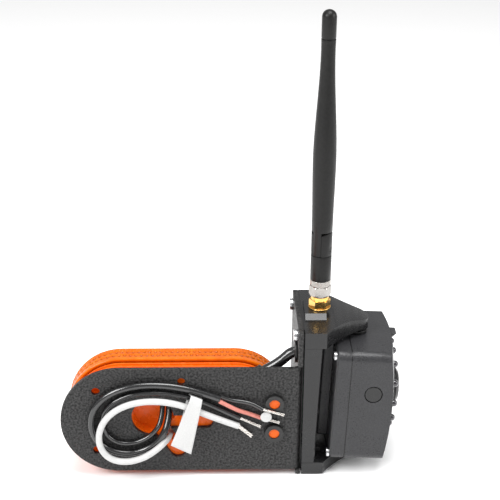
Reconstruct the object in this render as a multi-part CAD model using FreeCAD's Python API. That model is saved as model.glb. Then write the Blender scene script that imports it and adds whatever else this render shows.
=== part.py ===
import FreeCAD, Part
import math
import os

from FreeCAD import Vector as V

# Side-mounted backup camera: a steel L-bracket that carries an amber marker lamp, and a holder
# with two arms that grips a camera between them, with a folding antenna on the top arm.
# X points the way the lens looks, Y points away from the vehicle's wall, Z points up.
# The origin is midway between the two wall screw holes, on the bracket's wall side.

# Bracket
plate_height = 49.6
plate_reach = 103.0
steel = 2.0
bend_radius = 1.5
flange_depth = 43.0
flange_height = 68.4
flange_drop = 2.3
relief = 0.6
screw_hole_inset = 15.3
screw_hole = 3.6
round_cut = 18.0
slot_width = 6.0
spare_hole = 3.4
post_spacing = 14.4
post_from_corner = 11.7
post_lift = 1.4

# Lamp
lamp_radius = 21.7
lamp_from_rim = 1.2
lamp_from_corner = 7.1
housing_depth = 10.0
lens_depth = 11.0
lamp_wall = 2.0
screw_hole_from_lamp_rim = 3.84
lens_edge = 2.0
gasket_gap = 0.6
ridge_height = 0.5
ridge_width = 0.9
post = 4.4
pocket_depth = 6.0
screw_tube = 6.4
screw_bore = 4.2

# Camera holder
holder_gasket = 0.6
member_top = 7.8
member_bottom = 5.6
member_bevel = 0.5
member_wall = 1.5
ledge_depth = 9.3
top_arm_thick = 7.2
bottom_arm_thick = 5.4
nose_reach = 28.8
nose_radius = 6.4
arm_droop = 2.8
arm_rise = 1.8
bottom_arm_droop = 2.8
pad_height = 2.0
flange_screw = 3.0

# Camera
body_width = 45.7
body_height = 52.0
body_depth = 27.4
cover_depth = 6.2
shell_wall = 2.0
seal_gap = 0.4
crown_across = 124.0
crown_up = 150.0
corner = 4.0
pivot_from_back = 10.0
side_plug_x = 6.7
side_plug_z = 7.0
sensor_y = 1.6
sensor_z = 20.6
pivot_from_holder = 22.8
tilt = 2.3
pivot_pin = 4.0
back_box_depth = 4.6
back_box_width = 12.0
back_box_wall = 1.4
lens_bore = 17.0
led = 3.2
led_circle = 33.6
led_count = 12
board = 1.2

# Antenna
antenna_from_holder = 7.5
jack_thread = 6.2
nut_height = 5.7
coupling_height = 7.9
swivel_diameter = 8.9
swivel_height = 11.2
fork_height = 11.0
hinge_height = 3.2
hinge_pin = 2.0
element = 2.2
rod_length = 95.0
rod_diameter = 9.7
rod_tip = 6.0
rod_wide_at = 35.0
rod_narrow_at = 70.0
tip_groove = 12.0
knuckle_turn = -35.0

# Wires
power_cable = 3.0
core = 1.8
lamp_wire = 2.2
white_wire = 2.8
lead = 4.6

# Clearances
slip = 0.05
easy = 0.2

corner_x = plate_reach - screw_hole_inset
half_plate = plate_height / 2
mid_y = flange_depth / 2
flange_low = -half_plate - flange_drop
flange_top = flange_low + flange_height
holder_x = corner_x + holder_gasket
top_arm_low = flange_top - top_arm_thick
bottom_arm_top = flange_low + bottom_arm_thick
plate_end_x = half_plate - screw_hole_inset
lamp_left = plate_end_x + lamp_from_rim
screw_reach = lamp_radius - screw_hole_from_lamp_rim
screw_hole_spacing = 2 * math.sqrt(screw_reach**2 - lamp_left**2)
lamp_right = corner_x - lamp_from_corner - lamp_radius
housing_y = steel + housing_depth
lens_y = housing_y + gasket_gap
lens_face_y = lens_y + lens_depth
cut_centre = V(24.0, 0, 1.6)
antenna_x = holder_x + antenna_from_holder
pad_top = flange_top + pad_height
camera_z = (top_arm_low + bottom_arm_top) / 2 - 0.3
pivot = V(holder_x + pivot_from_holder, mid_y, camera_z)
post_x = corner_x - post_from_corner
posts = [(post_x, post_lift - post_spacing / 2), (post_x, post_lift + post_spacing / 2)]
back = -pivot_from_back
parting = back + cover_depth
shell_from = parting + seal_gap
front = back + body_depth

AHEAD = V(1, 0, 0)
AWAY = V(0, 1, 0)
UP = V(0, 0, 1)


def keep(name, shape):
    """Writes one node after checking that its solids are sound."""
    solids = shape.Solids
    assert solids, name
    assert shape.isValid(), name
    shape.exportStep("parts/" + name + ".step")
    print(f"{name:20s} solids {len(solids):3d} volume {shape.Volume:10.1f}")


def block(x, y, z):
    """A box between pairs of limits."""
    return Part.makeBox(x[1] - x[0], y[1] - y[0], z[1] - z[0], V(x[0], y[0], z[0]))


def rod_along(start, direction, diameter, length):
    return Part.makeCylinder(diameter / 2, length, start, direction)


def group(shapes):
    """Separate solids that share one node."""
    return Part.makeCompound([s for shape in shapes for s in shape.Solids])


def stadium(left, right, radius, y0, y1, mid_z=0.0):
    """A slab with two round ends, its length along X and its thickness along Y."""
    middle = block((left, right), (y0, y1), (mid_z - radius, mid_z + radius))
    ends = [rod_along(V(x, y0, mid_z), AWAY, 2 * radius, y1 - y0) for x in (left, right)]
    return middle.fuse(ends).removeSplitter()


def face_from(points):
    """A flat face with straight sides."""
    return Part.Face(Part.makePolygon(points + [points[0]]))


def hexagon(across_flats, z0, z1, x, y):
    radius = across_flats / math.sqrt(3)
    turns = [math.radians(60 * n) for n in range(6)]
    corners = [V(x + radius * math.cos(t), y + radius * math.sin(t), z0) for t in turns]
    return face_from(corners).extrude(V(0, 0, z1 - z0))


def tube_route(points, diameter, name):
    """A round cord: straight runs joined by tangent arcs, each as large as its two runs allow."""
    edges = []
    radii = []
    start = points[0]
    for before, here, after in zip(points, points[1:], points[2:]):
        into = here - before
        out = after - here
        half_turn = into.getAngle(out) / 2
        cut = 0.45 * min(into.Length, out.Length)
        radii.append(cut / math.tan(half_turn))
        first = here - into.normalize() * cut
        last = here + out.normalize() * cut
        towards = (first + last) * 0.5 - here
        sag = radii[-1] * (1 / math.cos(half_turn) - 1)
        edges.append(Part.LineSegment(start, first).toShape())
        edges.append(Part.Arc(first, here + towards.normalize() * sag, last).toShape())
        start = last
    edges.append(Part.LineSegment(start, points[-1]).toShape())
    path = Part.Wire(edges)
    ring = Part.Circle(points[0], points[1] - points[0], diameter / 2).toShape()
    solid = path.makePipeShell([Part.Wire([ring])], True, False)
    ratio = solid.Volume / (math.pi * diameter**2 / 4 * path.Length)
    print(f"{name}: length {path.Length:.1f}, least radius {min(radii):.1f}, volume ratio {ratio:.3f}")
    return solid


# ---------------------------------------------------------------- bracket and lamp


def bracket_holes():
    """Wall screw holes, wire opening, spare hole and lamp post holes through the plate."""
    through = 3 * steel
    holes = []
    for side in (-1, 1):
        holes.append(rod_along(V(0, -steel, side * screw_hole_spacing / 2), AWAY, screw_hole, through))
    for x, z in posts:
        holes.append(rod_along(V(x, -steel, z), AWAY, post + 1.2, through))
    holes.append(rod_along(cut_centre - V(0, steel, 0), AWAY, round_cut, through))
    holes.append(rod_along(V(36.3, -steel, 18.8), AWAY, spare_hole, through))
    slot = stadium(cut_centre.x, 47.0, slot_width / 2, -steel, 2 * steel, -0.6)
    holes.append(slot)
    slant = stadium(0, 19.4, 3.5, -steel, 2 * steel)
    slant.rotate(V(0, 0, 0), AWAY, 56)
    slant.translate(cut_centre)
    holes.append(slant)
    return holes


def flange_screw_places():
    """The four screws that hold the camera holder: Y and Z of each."""
    return [(y, z) for y in (6.5, flange_depth - 6.5) for z in (flange_low + 9.0, flange_top - 4.0)]


def lead_hole():
    """Centre of the flange's cable hole."""
    return V(corner_x, 9.0, flange_top - 12.6)


def l_bracket():
    outer = bend_radius + steel
    plate = stadium(plate_end_x, corner_x - outer, half_plate, 0, steel)
    plate = plate.common(block((-plate_reach, corner_x - outer), (0, steel), (-half_plate, half_plate)))
    low = flange_low
    flange = block((corner_x - steel, corner_x), (outer, flange_depth), (low, flange_top))
    upper = block((corner_x - steel, corner_x), (0, outer), (half_plate + relief, flange_top))
    lower = block((corner_x - steel, corner_x), (0, outer), (low, -half_plate - relief))
    axis = V(corner_x - outer, outer, -half_plate)
    bend = Part.makeCylinder(outer, plate_height, axis, UP)
    bend = bend.cut(Part.makeCylinder(bend_radius, plate_height, axis, UP))
    bend = bend.common(block((axis.x, corner_x), (0, outer), (-half_plate, half_plate)))
    shape = plate.fuse([flange, upper, lower, bend]).removeSplitter()
    shape = shape.cut(bracket_holes())
    for y, z in flange_screw_places():
        shape = shape.cut(rod_along(V(corner_x - 2 * steel, y, z), AHEAD, flange_screw + easy, 3 * steel))
    shape = shape.cut(rod_along(lead_hole() - V(2 * steel, 0, 0), AHEAD, lead + 3.0, 3 * steel))
    keep("l_bracket", shape)


def lamp_housing():
    """Amber tray against the plate, with ridges round its side and tubes for the wall screws."""
    body = stadium(lamp_left, lamp_right, lamp_radius, steel, housing_y)
    for y in (4.6, 7.2, 9.8):
        ring = stadium(lamp_left, lamp_right, lamp_radius + ridge_height, y, y + ridge_width)
        body = body.fuse(ring)
    hollow = stadium(lamp_left, lamp_right, lamp_radius - lamp_wall, steel + lamp_wall, housing_y + 1)
    body = body.cut(hollow)
    well = round_cut + 2 * lamp_wall
    body = body.fuse(rod_along(cut_centre + V(0, steel, 0), AWAY, well, pocket_depth + lamp_wall))
    white_exit = V(WHITE_ROUTE[0].x, steel, WHITE_ROUTE[0].z)
    white_well = rod_along(white_exit, AWAY, 10.0, pocket_depth + lamp_wall)
    box_well = block((24, 35.4), (steel, steel + pocket_depth + lamp_wall), (0, 13.0))
    body = body.fuse([white_well, box_well])
    body = body.cut(rod_along(cut_centre + V(0, steel - 1, 0), AWAY, round_cut - 0.6, pocket_depth + 1))
    body = body.cut(rod_along(white_exit - AWAY, AWAY, 7.0, 4.6))
    body = body.cut(block((26, 33.4), (steel - 1, steel + 5.4), (0, 8.2)))
    for side in (-1, 1):
        at = V(0, steel, side * screw_hole_spacing / 2)
        body = body.fuse(rod_along(at, AWAY, screw_tube, lens_face_y - steel - 0.6))
        body = body.cut(rod_along(at - AWAY, AWAY, screw_bore, 40))
    for x, z in posts:
        body = body.fuse(rod_along(V(x, -1.6, z), AWAY, post, steel + 2.6))
    body = body.cut(bush_solid(easy))
    body = body.cut(white_bush_solid(easy))
    body = body.cut(gland_solid(easy))
    body = body.cut(tube_route(lead_route(), lead, "lead way into the lamp"))
    keep("lamp_housing", body.removeSplitter())


def lamp_lens():
    """Amber cap with a rounded outer edge, open towards the tray."""
    body = stadium(lamp_left, lamp_right, lamp_radius, lens_y, lens_face_y)
    rim = [e for e in body.Edges if abs(e.BoundBox.YMin - lens_face_y) < 1e-6 and e.BoundBox.YLength < 1e-6]
    body = body.makeFillet(lens_edge, rim)
    inside = lamp_radius - lamp_wall
    body = body.cut(stadium(lamp_left, lamp_right, inside, lens_y - 1, lens_face_y - lamp_wall))
    for side in (-1, 1):
        at = V(0, lens_y - 1, side * screw_hole_spacing / 2)
        body = body.cut(rod_along(at, AWAY, screw_tube + 2 * easy, 40))
    keep("lamp_lens", body.cut(gland_solid(easy)))


def lamp_gasket():
    ring = stadium(lamp_left, lamp_right, lamp_radius - 0.3, housing_y, lens_y)
    ring = ring.cut(stadium(lamp_left, lamp_right, lamp_radius - lamp_wall, housing_y - 1, lens_y + 1))
    for side in (-1, 1):
        at = V(0, 0, side * screw_hole_spacing / 2)
        ring = ring.cut(rod_along(at, AWAY, screw_tube + easy, 40))
    keep("lamp_gasket", ring.cut(gland_solid(easy)))


def lamp_board():
    """Circuit board inside the lamp with six LEDs in a row."""
    low = steel + pocket_depth + lamp_wall + 0.4
    slab = stadium(lamp_left, lamp_right, lamp_radius - lamp_wall - easy, low, low + board)
    for side in (-1, 1):
        at = V(0, 0, side * screw_hole_spacing / 2)
        slab = slab.cut(rod_along(at, AWAY, screw_tube + 1.0, 40))
    keep("lamp_board", slab.cut(gland_solid(easy)))
    pitch = (lamp_right - lamp_left) / 5
    chips = []
    for n in range(6):
        x = lamp_left + n * pitch
        chips.append(block((x - 1.8, x + 1.8), (low + board, low + board + 1.6), (-1.6, 1.6)))
    keep("lamp_leds", group(chips))


def lamp_grommets():
    """Rubber collars over the lamp's two posts, on the wall side of the plate."""
    collars = []
    for x, z in posts:
        at = V(x, -2.4, z)
        collar = rod_along(at, AWAY, 8.2, 2.4)
        collar = collar.fuse(rod_along(at, AWAY, post + 1.0, 2.4 + steel - 0.1))
        collars.append(collar.cut(rod_along(at - AWAY, AWAY, post + 2 * slip, 8)))
    keep("lamp_grommets", group(collars))


def bush_solid(extra=0.0):
    """Rubber bush in the pocket's upper wall, for the power cable and the black lamp wire."""
    return block((26.2 - extra, 33.2 + extra), (2.1, 7.2 + extra), (8.2 - extra, 11.2 + extra))


def white_bush_solid(extra=0.0):
    """Rubber bush for the white lamp wire, behind the plate's slanted slot."""
    return rod_along(WHITE_ROUTE[0], AWAY, 5.0 + 2 * extra, 2.2)


def wire_bushes():
    keep("wire_bushes", group([bush_solid(), white_bush_solid()]))


def gland_solid(extra=0.0):
    """Gland where the camera lead enters the lamp's side."""
    return rod_along(lead_route()[-1], lead_route()[-2] - lead_route()[-1], lead + 2.0 + 2 * extra, 3.0)


def lead_route():
    """From the holder, through the flange hole, down to the lamp's side."""
    hole = lead_hole()
    turn = math.radians(60.5)
    reach = lamp_radius - 1.4
    end = V(lamp_right + reach * math.cos(turn), 8.4, reach * math.sin(turn))
    halfway = (hole + end) * 0.5 - V(0.6, 0, 0.4)
    return [hole + V(holder_gasket, 0, 0), hole - V(4.2, 0, 0.4), halfway, end]


def camera_lead():
    keep("camera_lead", tube_route(lead_route(), lead, "camera_lead"))
    keep("lead_gland", gland_solid().cut(tube_route(lead_route(), lead, "lead_gland bore")))
    hole = lead_hole()
    inner = rod_along(hole - V(steel + 1.2, 0, 0), AHEAD, lead + 2.6, steel + 1.2)
    flangeway = rod_along(hole - V(steel + 1.2, 0, 0), AHEAD, lead + 5.4, 1.2)
    bore = rod_along(hole - V(steel + 2, 0, 0), AHEAD, lead + 1.2, steel + 3)
    keep("flange_grommet", flangeway.fuse(inner).cut(bore))


# ---------------------------------------------------------------- wires on the wall side

POWER_ROUTE = [
    V(31.2, 5.2, 8.2), V(31.2, 4.4, 4.6), V(30.9, 1.6, 0.8), V(29.8, -1.6, -3.4), V(26.4, -2.4, -9.0),
    V(20.6, -2.1, -13.4), V(13.2, -2.0, -15.2), V(5.2, -2.0, -13.4), V(-0.6, -2.0, -8.0), V(-2.6, -2.0, -0.6),
    V(-1.0, -2.0, 7.2), V(4.4, -2.0, 13.4), V(12.6, -1.9, 17.2), V(22.4, -1.8, 18.5), V(33.0, -1.8, 17.7),
    V(43.4, -1.8, 15.2), V(52.6, -1.9, 11.6),
]
BLACK_ROUTE = [
    V(28.2, 4.6, 8.2), V(28.2, 3.9, 5.0), V(27.9, 1.4, 1.4), V(26.6, -1.0, -2.6), V(22.6, -1.4, -7.2),
    V(16.6, -1.4, -10.2), V(9.8, -1.4, -10.4), V(4.4, -1.4, -6.8), V(2.2, -1.4, -0.6), V(3.6, -1.4, 5.8),
    V(8.6, -1.4, 10.8), V(15.6, -1.4, 13.6), V(24.0, -1.4, 14.5), V(33.0, -1.5, 13.8), V(42.2, -1.5, 11.4),
    V(52.2, -1.5, 6.6), V(61.2, -1.6, 1.9),
]
WHITE_ROUTE = [
    V(31.8, 5.6, -7.2), V(31.4, 1.2, -7.6), V(29.4, -2.8, -8.8), V(25.6, -5.2, -11.4), V(20.0, -5.6, -15.2),
    V(12.6, -5.4, -17.4), V(5.6, -5.3, -15.8), V(1.6, -5.3, -10.4), V(1.0, -5.3, -3.4), V(3.6, -5.3, 3.4),
    V(9.2, -5.2, 8.8), V(17.0, -5.1, 11.8), V(26.0, -5.0, 12.4), V(35.4, -4.8, 10.6), V(44.6, -4.2, 6.2),
    V(52.6, -2.6, 1.8), V(60.7, -1.9, -1.8),
]
RED_CORE_ROUTE = [
    V(52.4, -2.6, 10.8), V(56.8, -2.2, 8.0), V(60.9, -1.8, 5.6), V(65.6, -1.6, 4.0), V(70.1, -1.4, 1.9),
]
BLACK_CORE_ROUTE = [
    V(53.0, -1.2, 12.3), V(57.2, -1.4, 10.6), V(62.0, -1.3, 9.9), V(67.2, -1.8, 8.9), V(71.0, -3.4, 7.0),
]


def strand(start, end, diameter):
    return Part.makeCylinder(diameter / 2, (end - start).Length, start, end - start)


def wires():
    keep("power_cable", tube_route(POWER_ROUTE, power_cable, "power_cable"))
    keep("black_lamp_wire", tube_route(BLACK_ROUTE, lamp_wire, "black_lamp_wire"))
    keep("white_lamp_wire", tube_route(WHITE_ROUTE, white_wire, "white_lamp_wire"))
    keep("red_core", tube_route(RED_CORE_ROUTE, core, "red_core"))
    keep("black_core", tube_route(BLACK_CORE_ROUTE, core, "black_core"))
    ends = [
        strand(V(70.1, -1.4, 1.9), V(78.6, -1.0, -1.0), 0.9),
        strand(V(71.0, -3.4, 7.0), V(80.4, -3.2, 4.0), 0.9),
        strand(V(61.2, -1.6, 1.9), V(70.6, -1.0, -2.9), 0.9),
        strand(V(60.7, -1.9, -1.8), V(66.8, -1.2, -7.4), 1.3),
    ]
    keep("bare_strands", group(ends))


def label_and_tag():
    """A folded flag of white tape round the lamp wires, and a round tag on the red core's end."""
    flag = block((-3.9, 4.3), (-0.35, 0.35), (-24.0, 2.4))
    flag.rotate(V(0, 0, 0), AWAY, 15)
    flag.translate(V(41.8, -6.7, 12.2))
    keep("wire_label", flag)
    keep("wire_tag", rod_along(V(72.4, -3.1, 3.0), AWAY, 4.9, 0.6))


# ---------------------------------------------------------------- camera holder


def arm_plan(z):
    """One arm seen from above: a ledge across the holder, and sides that curve in to a round nose."""
    nose_x = holder_x + nose_reach - nose_radius
    ledge_x = holder_x + ledge_depth
    touch = math.radians(62)
    side_x = nose_x + nose_radius * math.cos(touch)
    side_y = nose_radius * math.sin(touch)
    points = []
    for side in (-1, 1):
        corner_point = V(ledge_x, mid_y + side * mid_y, z)
        middle = V(ledge_x + 7.2, mid_y + side * (side_y + 6.6), z)
        points.append((corner_point, middle, V(side_x, mid_y + side * side_y, z)))
    near, far = points
    edges = [
        Part.LineSegment(V(holder_x, 0, z), near[0]).toShape(),
        Part.Arc(*near).toShape(),
        Part.Arc(near[2], V(holder_x + nose_reach, mid_y, z), far[2]).toShape(),
        Part.Arc(far[2], far[1], far[0]).toShape(),
        Part.LineSegment(far[0], V(holder_x, flange_depth, z)).toShape(),
        Part.LineSegment(V(holder_x, flange_depth, z), V(holder_x, 0, z)).toShape(),
    ]
    return Part.Face(Part.Wire(edges))


def droop_cut(z, up, droop):
    """What is taken off an arm's outer side so that it thins towards the nose along an arc."""
    start = holder_x + ledge_depth + 3.2
    end = holder_x + nose_reach + 1
    run = end - start
    radius = (run**2 + droop**2) / (2 * droop)
    half = math.asin(run / radius) / 2
    middle = V(start + radius * math.sin(half), -1, z - up * radius * (1 - math.cos(half)))
    tip = V(end, -1, z - up * droop)
    arc = Part.Arc(V(start, -1, z), middle, tip).toShape()
    out = [
        Part.LineSegment(tip, V(end, -1, z + up * 5)).toShape(),
        Part.LineSegment(V(end, -1, z + up * 5), V(start, -1, z + up * 5)).toShape(),
        Part.LineSegment(V(start, -1, z + up * 5), V(start, -1, z)).toShape(),
    ]
    return Part.Face(Part.Wire([arc] + out)).extrude(V(0, flange_depth + 2, 0))


def pivot_line():
    """The pan axis, leaning by the camera's tilt."""
    lean = math.radians(tilt)
    return V(math.sin(lean), 0, math.cos(lean))


def pivot_bore():
    reach = body_height / 2 + 3.9
    return rod_along(pivot - pivot_line() * reach, pivot_line(), pivot_pin + 2 * slip, 2 * reach)


def top_arm():
    arm = arm_plan(top_arm_low).extrude(V(0, 0, top_arm_thick))
    arm = arm.cut([droop_cut(flange_top, 1, arm_droop), droop_cut(top_arm_low, -1, arm_rise)])
    arm = arm.fuse(rod_along(V(pivot.x + 1.4, mid_y, top_arm_low), UP, 9.4, arm_rise))
    low = V(holder_x + 0.9, mid_y - 8.8, flange_top)
    pad = [low, low + V(0, 2.4, pad_height), low + V(0, 15.2, pad_height), low + V(0, 17.6, 0)]
    arm = arm.fuse(face_from(pad).extrude(V(antenna_from_holder + 1.6, 0, 0)))
    arm = arm.cut(rod_along(V(antenna_x, mid_y, top_arm_low), UP, jack_thread + easy, 20))
    pocket_top = flange_top - 2.0
    pocket = block((holder_x, antenna_x + 4.5), (mid_y - 5.5, mid_y + 5.5), (top_arm_low + 1.5, pocket_top))
    notch = block((holder_x, holder_x + 4.4), (mid_y - 3, mid_y + 3), (top_arm_low - 1, top_arm_low + 2))
    arm = arm.cut([pocket, notch, pivot_bore()])
    arm = arm.cut([screw_hole_at(y, z, 6.0) for y, z in flange_screw_places()])
    keep("top_arm", arm.removeSplitter())


def bottom_arm():
    arm = arm_plan(flange_low).extrude(V(0, 0, bottom_arm_thick))
    arm = arm.cut([droop_cut(flange_low, -1, bottom_arm_droop), pivot_bore()])
    keep("bottom_arm", arm.removeSplitter())


def holder_back():
    """Hollow member between the arms, open towards the flange, thinner at its foot."""
    low = bottom_arm_top
    high = top_arm_low

    def wedge(inset, near, far):
        corners = [
            V(holder_x, near, low + inset),
            V(holder_x + member_bottom - inset, near, low + inset),
            V(holder_x + member_top - inset, near, high - inset),
            V(holder_x, near, high - inset),
        ]
        return face_from(corners).extrude(V(0, far - near, 0))

    body = wedge(0, 0, flange_depth)
    front = [e for e in body.Edges if e.BoundBox.XMin > holder_x + 1 and e.BoundBox.YLength < 1e-6]
    front = [e for e in front if e.BoundBox.ZLength > 10]
    body = body.makeChamfer(member_bevel, front)
    body = body.cut(wedge(member_wall, member_wall, flange_depth - member_wall))
    for y, z in flange_screw_places()[::2]:
        boss = block((holder_x, holder_x + member_bottom - 1), (y - 2.6, y + 2.6), (low, z + 2.6))
        body = body.fuse(boss)
    notch = block((holder_x, holder_x + 4.4), (mid_y - 3, mid_y + 3), (high - member_wall - 1, high + 1))
    body = body.cut(notch)
    rib = block((holder_x + 5.6, holder_x + 7.6), (9.2, 10.8), (-2.8, 11.3))
    tab = block((holder_x + 4.2, holder_x + 8.6), (8.4, 11.6), (low + 0.4, low + 2.6))
    body = body.fuse([rib, tab])
    cut_screws = [screw_hole_at(y, z, 5.0) for y, z in flange_screw_places()]
    body = body.cut(cut_screws)
    keep("holder_back", body.removeSplitter())


def screw_hole_at(y, z, depth):
    return rod_along(V(holder_x - 1, y, z), AHEAD, flange_screw - 0.2 + 2 * slip, depth)


def flange_screws():
    """Pan-head screws through the flange, gasket and into the holder."""
    screws = []
    for y, z in flange_screw_places():
        head = rod_along(V(corner_x - steel - 1.8, y, z), AHEAD, 5.2, 1.8)
        shank = rod_along(V(corner_x - steel, y, z), AHEAD, flange_screw - 0.2, steel + holder_gasket + 3.4)
        cross = [
            block((head.BoundBox.XMin - 1, head.BoundBox.XMin + 0.9), (y - a, y + a), (z - b, z + b))
            for a, b in ((1.6, 0.3), (0.3, 1.6))
        ]
        screws.append(head.fuse(shank).cut(cross))
    keep("flange_screws", group(screws))


def gasket_between():
    """Thin rubber sheet between the flange and the holder."""
    sheet = block((corner_x, holder_x), (4.2, flange_depth - 0.1), (flange_low + 0.1, flange_top - 0.1))
    hole = block((corner_x - 1, holder_x + 1), (11, flange_depth - 11), (flange_low + 12, flange_top - 8))
    sheet = sheet.cut(hole)
    for y, z in flange_screw_places():
        sheet = sheet.cut(rod_along(V(corner_x - 1, y, z), AHEAD, flange_screw + easy, 3))
    sheet = sheet.cut(rod_along(lead_hole() - AHEAD, AHEAD, lead + 2 * easy, 3))
    keep("holder_gasket", sheet)


def transmitter():
    """Radio board in the hollow member, with its shield can, and the coax up to the jack."""
    x = holder_x + 0.6
    top = flange_top - 17.3
    slab = block((x, x + board), (12, flange_depth - 12), (top - 36, top))
    can = block((x + board, x + board + 1.4), (15, 28), (top - 30, top - 14))
    keep("radio_board", slab)
    keep("shield_can", can)
    jack_foot = V(antenna_x, mid_y, flange_top - 3.8)
    ahead_and_down = [
        (0.7, 29.3), (0.8, 24.3), (0.7, 19.3), (0.4, 14.8), (0.5, 10.3), (1.4, 6.9), (3.2, 5.1),
    ]
    route = [V(x + board + out, mid_y, flange_top - down) for out, down in ahead_and_down]
    route += [jack_foot - V(1.0, 0, 0.6), jack_foot]
    keep("coax", tube_route(route, 1.1, "coax"))


# ---------------------------------------------------------------- antenna


def jack():
    """Gold jack through the top arm with its washer and hex nut."""
    top = pad_top + nut_height
    low = flange_top - 3.6
    tube = rod_along(V(antenna_x, mid_y, low), UP, jack_thread, top + 3.4 - low)
    tube = tube.cut(rod_along(V(antenna_x, mid_y, low - 1), UP, 4.1, 30))
    keep("antenna_jack", tube)
    core_rod = rod_along(V(antenna_x, mid_y, low), UP, 4.0, top + 2.4 - low)
    keep("jack_insulator", core_rod)
    washer = rod_along(V(antenna_x, mid_y, pad_top), UP, 9.6, 0.8)
    keep("jack_washer", washer.cut(rod_along(V(antenna_x, mid_y, 0), UP, jack_thread + 2 * slip, 90)))
    nut = hexagon(8.0, pad_top + 0.8, top - 1.6, antenna_x, mid_y)
    nut = nut.fuse(rod_along(V(antenna_x, mid_y, top - 1.6), UP, 7.6, 1.6))
    keep("jack_nut", nut.cut(rod_along(V(antenna_x, mid_y, 0), UP, jack_thread + 2 * slip, 90)))


def coupling_nut():
    """Silver nut that screws the antenna onto the jack: hex below, knurled collar above."""
    low = pad_top + nut_height + 0.1
    nut = hexagon(8.4, low, low + 5.2, antenna_x, mid_y)
    nut = nut.common(Part.makeCone(4.7, 5.1, 5.2, V(antenna_x, mid_y, low)))
    nut = nut.fuse(rod_along(V(antenna_x, mid_y, low + 5.2), UP, 9.0, coupling_height - 5.2))
    nut = nut.cut(rod_along(V(antenna_x, mid_y, low - 1), UP, jack_thread + 2 * slip, 30))
    keep("coupling_nut", nut)


def rod_body(foot):
    """The mast: a smooth swelling, a slim neck and a round tip, turned about its axis."""
    swell = rod_diameter / 2
    neck = rod_tip / 2
    knots = [
        (swivel_diameter / 2, 0), (0.97 * swell, 0.5 * rod_wide_at), (swell, rod_wide_at),
        (0.6 * swell + 0.4 * neck, 0.5 * (rod_wide_at + rod_narrow_at) - 1), (neck + 0.1, rod_narrow_at),
        (neck, rod_length - tip_groove),
    ]
    side = Part.BSplineCurve()
    side.interpolate([V(antenna_x + r, mid_y, foot + h) for r, h in knots])
    shoulder = V(antenna_x + neck, mid_y, foot + rod_length - neck)
    tip = V(antenna_x, mid_y, foot + rod_length)
    middle = V(antenna_x + neck * math.sin(math.pi / 4), mid_y, shoulder.z + neck * math.cos(math.pi / 4))
    start = V(antenna_x, mid_y, foot)
    edges = [
        Part.LineSegment(start, side.StartPoint).toShape(),
        side.toShape(),
        Part.LineSegment(side.EndPoint, shoulder).toShape(),
        Part.Arc(shoulder, middle, tip).toShape(),
        Part.LineSegment(tip, start).toShape(),
    ]
    return Part.Face(Part.Wire(edges)).revolve(V(antenna_x, mid_y, 0), UP, 360)


def knuckle_tongue(half, low, hinge_z, top):
    """The mast's tongue in the fork: flush on one side, rounded about the pin on the side it folds to."""
    eye_radius = 2.9
    x = (antenna_x - half, antenna_x + half)
    flush = swivel_diameter / 2 - 0.05
    upper = block(x, (mid_y - flush, mid_y + eye_radius), (hinge_z, top + 0.5))
    lower = block(x, (mid_y - flush, mid_y), (low + 0.25, hinge_z))
    outer = rod_along(V(antenna_x, mid_y, low), UP, 2 * flush, top + 1 - low)
    tongue = upper.fuse(lower).common(outer)
    eye = V(antenna_x - half, mid_y, hinge_z)
    tongue = tongue.fuse(rod_along(eye, AHEAD, 2 * eye_radius, 2 * half))
    return tongue.cut(rod_along(eye - AHEAD, AHEAD, hinge_pin + 2 * slip, 12))


def antenna():
    """Swivel base with a fork, a pinned rod that folds down, and the pin."""
    low = pad_top + nut_height + coupling_height + 0.25
    fork_low = low + swivel_height
    fork_top = fork_low + fork_height
    hinge_z = fork_low + hinge_height
    axis = V(antenna_x, mid_y, low)
    base = rod_along(axis, UP, swivel_diameter, fork_top - 0.3 - low)
    dome_centre = V(antenna_x - 6, mid_y, hinge_z)
    dome = rod_along(dome_centre, AHEAD, 2 * (fork_height - hinge_height - 0.3), 12)
    below = block((antenna_x - 6, antenna_x + 6), (mid_y - 6, mid_y + 6), (low - 1, hinge_z))
    base = base.common(dome.fuse(below))
    slot_half = 2.1
    slot_x = (antenna_x - slot_half, antenna_x + slot_half)
    slot = block(slot_x, (0, flange_depth), (fork_low, fork_top + 1))
    ring = rod_along(V(antenna_x, mid_y, fork_low - 0.15), UP, swivel_diameter + 1, 0.3)
    ring = ring.cut(rod_along(V(antenna_x, mid_y, fork_low - 1), UP, swivel_diameter - 0.5, 2))
    base = base.cut([slot, ring])
    spigot = rod_along(axis - V(0, 0, 3.4), UP, jack_thread - 0.2, 3.5)
    base = base.fuse(spigot)
    base = base.cut(rod_along(V(antenna_x - 6, mid_y, hinge_z), AHEAD, hinge_pin + 2 * slip, 12))
    base.rotate(axis, UP, knuckle_turn)
    keep("antenna_swivel", base)
    pin_half = swivel_diameter / 2 - 0.1
    pin = rod_along(V(antenna_x - pin_half, mid_y, hinge_z), AHEAD, hinge_pin, 2 * pin_half)
    pin.rotate(axis, UP, knuckle_turn)
    keep("hinge_pin", pin)
    tongue = knuckle_tongue(slot_half - 0.15, fork_low, hinge_z, fork_top)
    rod = rod_body(fork_top)
    groove = rod_along(V(antenna_x, mid_y, fork_top + rod_length - tip_groove), UP, 12, 0.6)
    groove = groove.cut(rod_along(V(antenna_x, mid_y, fork_top), UP, rod_tip - 0.6, rod_length))
    rod = rod.fuse(tongue).cut(groove)
    rod.rotate(axis, UP, knuckle_turn)
    bore = rod_along(V(antenna_x, mid_y, fork_top + 6), UP, element + easy, rod_length - 12)
    keep("antenna_rod", rod.cut(bore).removeSplitter())
    keep("antenna_element", rod_along(V(antenna_x, mid_y, fork_top + 6.5), UP, element, rod_length - 13))


# ---------------------------------------------------------------- camera, drawn about its pivot


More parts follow.
